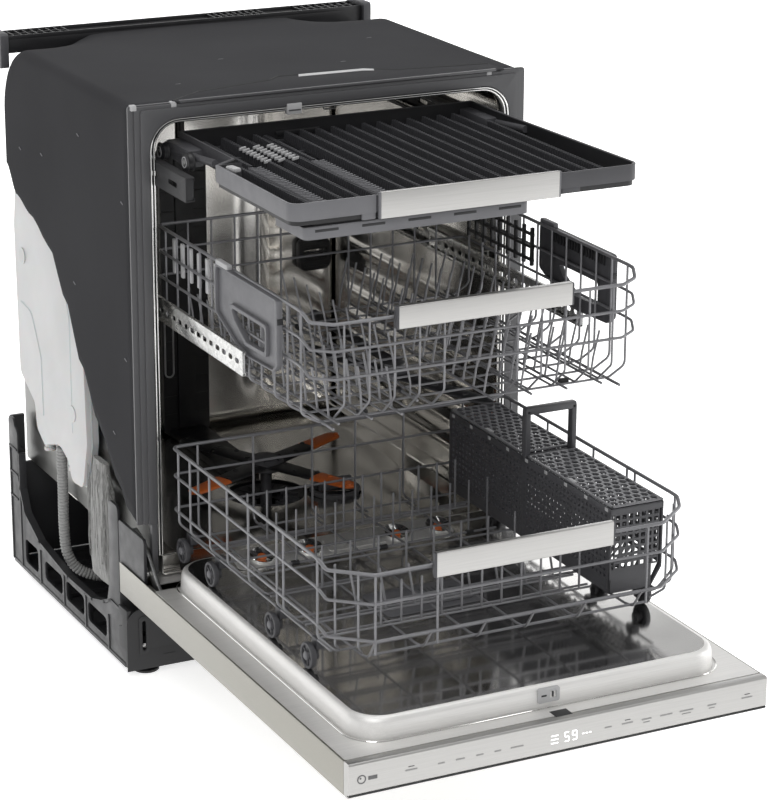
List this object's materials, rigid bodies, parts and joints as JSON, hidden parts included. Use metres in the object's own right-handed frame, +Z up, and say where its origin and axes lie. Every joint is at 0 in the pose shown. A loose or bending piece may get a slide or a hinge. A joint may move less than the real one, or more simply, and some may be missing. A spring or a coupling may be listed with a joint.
{
  "type": "built in dishwasher",
  "caption": "Built-in dishwasher shown with its door lowered and its three racks pulled out, stainless tub, felt-wrapped cabinet and open base.",
  "frame": {"origin": "centre of the whole object's box at floor level, with the door lowered and the racks out", "axes": "+Z up, +Y from the open door towards the back of the cabinet, +X to the right when facing the machine"},
  "size_m": [0.603, 1.215, 0.848],
  "materials": {
    "stainless": "polished stainless with a fine brushed grain",
    "brushed": "brushed stainless, satin",
    "galvanised": "zinc-plated pressed steel",
    "chrome": "mirror chrome",
    "charcoal_paint": "satin charcoal enamel",
    "black_paint": "satin black",
    "black_plastic": "fine-grained black moulding",
    "dark_plastic": "satin dark grey moulding",
    "grey_plastic": "satin mid grey moulding",
    "white_plastic": "translucent white moulding",
    "coated_wire": "nylon-coated steel wire, silver grey",
    "blanket_felt": "matt bitumen-backed felt",
    "fibre": "loose recycled fibre wool",
    "rubber": "soft black seal",
    "cast_iron": "bare casting",
    "hose": "ribbed grey hose"
  },
  "bodies": {
    "cabinet": {"tub": "stainless", "front_frame": "charcoal_paint", "tub_gasket": "rubber", "sound_blanket": "blanket_felt", "rear_top_bar": "black_plastic", "base_tray": "black_plastic", "kick_plate": "black_paint", "foot_front_left": "black_plastic", "foot_front_right": "black_plastic", "foot_rear_left": "black_plastic", "foot_rear_right": "black_plastic", "counterweight": "cast_iron", "water_guide": "white_plastic", "drain_hose": "hose", "fibre_pad": "fibre", "circulation_pump": "dark_plastic", "sump": "black_plastic", "feed_duct": "black_plastic", "latch_strike": "galvanised", "middle_rail_left": "galvanised", "middle_rail_right": "galvanised"},
    "filter": {"filter_cup": "grey_plastic"},
    "lower_sprayer": {"lower_spray_arm": "black_plastic"},
    "top_sprayer": {"top_spray_arm": "black_plastic"},
    "left_middle_slide": {"middle_slide_left": "galvanised"},
    "right_middle_slide": {"middle_slide_right": "galvanised"},
    "left_third_rail": {"third_rail_left": "black_paint"},
    "right_third_rail": {"third_rail_right": "black_paint"},
    "third_rack": {"third_rack_tray": "grey_plastic", "third_rack_handle": "brushed"},
    "middle_rack": {"middle_rack_frame": "coated_wire", "middle_rack_handle": "brushed", "rack_adjuster_left": "grey_plastic", "rack_adjuster_right": "grey_plastic", "middle_feed_tube": "black_plastic"},
    "middle_sprayer": {"middle_spray_arm": "black_plastic"},
    "middle_tines": {"middle_tine_row": "coated_wire"},
    "door": {"door_outer_panel": "brushed", "door_liner": "stainless", "control_panel": "brushed", "hinge_arm_left": "galvanised", "hinge_arm_right": "galvanised", "dispenser_body": "grey_plastic", "steam_bar": "chrome"},
    "latch": {"door_latch": "grey_plastic"},
    "detergent_lid": {"dispenser_lid": "grey_plastic"},
    "lower_rack": {"lower_rack_frame": "coated_wire", "lower_rack_handle": "brushed", "cutlery_basket": "dark_plastic"},
    "front_basket_lid": {"basket_lid_front": "dark_plastic"},
    "rear_basket_lid": {"basket_lid_rear": "dark_plastic"},
    "lower_tines": {"lower_tine_row": "coated_wire"},
    "wheel_left_1": {"lower_wheel_left_1": "dark_plastic"},
    "wheel_left_2": {"lower_wheel_left_2": "dark_plastic"},
    "wheel_left_3": {"lower_wheel_left_3": "dark_plastic"},
    "wheel_left_4": {"lower_wheel_left_4": "dark_plastic"},
    "wheel_right_1": {"lower_wheel_right_1": "dark_plastic"},
    "wheel_right_2": {"lower_wheel_right_2": "dark_plastic"},
    "wheel_right_3": {"lower_wheel_right_3": "dark_plastic"},
    "wheel_right_4": {"lower_wheel_right_4": "dark_plastic"}
  },
  "joints": [
    {"name": "door_hinge", "type": "hinge", "parent": "cabinet", "child": "door", "pos_m": [0, 0.0525, 0.177], "axis": [-1, 0, 0], "range_deg": [0, 10]},
    {"name": "lower_rack_slide", "type": "slide", "parent": "door", "child": "lower_rack", "axis": [0, -1, 0], "range_m": [-0.558, 0]},
    {"name": "middle_rack_slide", "type": "slide", "parent": "cabinet", "child": "middle_rack", "axis": [0, -1, 0], "range_m": [-0.465, 0]},
    {"name": "third_rack_slide", "type": "slide", "parent": "cabinet", "child": "third_rack", "axis": [0, -1, 0], "range_m": [-0.42, 0]},
    {"name": "middle_slide_left_travel", "type": "slide", "parent": "cabinet", "child": "left_middle_slide", "axis": [0, -1, 0], "range_m": [-0.279, 0]},
    {"name": "third_rail_left_travel", "type": "slide", "parent": "cabinet", "child": "left_third_rail", "axis": [0, -1, 0], "range_m": [-0.126, 0]},
    {"name": "middle_slide_right_travel", "type": "slide", "parent": "cabinet", "child": "right_middle_slide", "axis": [0, -1, 0], "range_m": [-0.279, 0]},
    {"name": "third_rail_right_travel", "type": "slide", "parent": "cabinet", "child": "right_third_rail", "axis": [0, -1, 0], "range_m": [-0.126, 0]},
    {"name": "lower_spray_arm_spin", "type": "hinge", "parent": "cabinet", "child": "lower_sprayer", "pos_m": [0, 0.2875, 0.22], "axis": [0, 0, 1], "continuous": true},
    {"name": "top_spray_arm_spin", "type": "hinge", "parent": "cabinet", "child": "top_sprayer", "pos_m": [0, 0.3175, 0.797], "axis": [0, 0, 1], "continuous": true},
    {"name": "middle_spray_arm_spin", "type": "hinge", "parent": "middle_rack", "child": "middle_sprayer", "pos_m": [0, -0.1325, 0.482], "axis": [0, 0, 1], "continuous": true},
    {"name": "filter_turn", "type": "hinge", "parent": "cabinet", "child": "filter", "pos_m": [0.095, 0.2475, 0.178], "axis": [0, 0, 1], "range_deg": [0, 90]},
    {"name": "latch_press", "type": "slide", "parent": "door", "child": "latch", "axis": [0, 1, 0], "range_m": [0, 0.005], "stiffness_N_per_m": 400},
    {"name": "detergent_lid_slide", "type": "slide", "parent": "door", "child": "detergent_lid", "axis": [1, 0, 0], "range_m": [0, 0.058]},
    {"name": "front_basket_lid_hinge", "type": "hinge", "parent": "lower_rack", "child": "front_basket_lid", "pos_m": [0.246, -0.3175, 0.3618], "axis": [0, 1, 0], "range_deg": [0, 90]},
    {"name": "rear_basket_lid_hinge", "type": "hinge", "parent": "lower_rack", "child": "rear_basket_lid", "pos_m": [0.246, -0.0865, 0.3618], "axis": [0, 1, 0], "range_deg": [0, 90]},
    {"name": "lower_tine_fold", "type": "hinge", "parent": "lower_rack", "child": "lower_tines", "pos_m": [-0.036, -0.1525, 0.244], "axis": [1, 0, 0], "range_deg": [0, 80]},
    {"name": "middle_tine_fold", "type": "hinge", "parent": "middle_rack", "child": "middle_tines", "pos_m": [-0.07, -0.1345, 0.515], "axis": [0, -1, 0], "range_deg": [0, 70]},
    {"name": "wheel_left_1_roll", "type": "hinge", "parent": "lower_rack", "child": "wheel_left_1", "pos_m": [-0.246, 0.0195, 0.2168], "axis": [1, 0, 0], "continuous": true},
    {"name": "wheel_left_2_roll", "type": "hinge", "parent": "lower_rack", "child": "wheel_left_2", "pos_m": [-0.246, -0.0785, 0.2168], "axis": [1, 0, 0], "continuous": true},
    {"name": "wheel_left_3_roll", "type": "hinge", "parent": "lower_rack", "child": "wheel_left_3", "pos_m": [-0.246, -0.2745, 0.2168], "axis": [1, 0, 0], "continuous": true},
    {"name": "wheel_left_4_roll", "type": "hinge", "parent": "lower_rack", "child": "wheel_left_4", "pos_m": [-0.246, -0.3845, 0.2168], "axis": [1, 0, 0], "continuous": true},
    {"name": "wheel_right_1_roll", "type": "hinge", "parent": "lower_rack", "child": "wheel_right_1", "pos_m": [0.246, 0.0195, 0.2168], "axis": [1, 0, 0], "continuous": true},
    {"name": "wheel_right_2_roll", "type": "hinge", "parent": "lower_rack", "child": "wheel_right_2", "pos_m": [0.246, -0.0785, 0.2168], "axis": [1, 0, 0], "continuous": true},
    {"name": "wheel_right_3_roll", "type": "hinge", "parent": "lower_rack", "child": "wheel_right_3", "pos_m": [0.246, -0.2745, 0.2168], "axis": [1, 0, 0], "continuous": true},
    {"name": "wheel_right_4_roll", "type": "hinge", "parent": "lower_rack", "child": "wheel_right_4", "pos_m": [0.246, -0.3845, 0.2168], "axis": [1, 0, 0], "continuous": true}
  ],
  "couplings": [
    {"joint": "middle_slide_left_travel", "follows": "middle_rack_slide", "ratio": 0.6},
    {"joint": "third_rail_left_travel", "follows": "third_rack_slide", "ratio": 0.3},
    {"joint": "wheel_left_1_roll", "follows": "lower_rack_slide", "rad_per_m": 57.143},
    {"joint": "wheel_left_2_roll", "follows": "lower_rack_slide", "rad_per_m": 57.143},
    {"joint": "wheel_left_3_roll", "follows": "lower_rack_slide", "rad_per_m": 57.143},
    {"joint": "wheel_left_4_roll", "follows": "lower_rack_slide", "rad_per_m": 57.143},
    {"joint": "middle_slide_right_travel", "follows": "middle_rack_slide", "ratio": 0.6},
    {"joint": "third_rail_right_travel", "follows": "third_rack_slide", "ratio": 0.3},
    {"joint": "wheel_right_1_roll", "follows": "lower_rack_slide", "rad_per_m": 57.143},
    {"joint": "wheel_right_2_roll", "follows": "lower_rack_slide", "rad_per_m": 57.143},
    {"joint": "wheel_right_3_roll", "follows": "lower_rack_slide", "rad_per_m": 57.143},
    {"joint": "wheel_right_4_roll", "follows": "lower_rack_slide", "rad_per_m": 57.143}
  ]
}
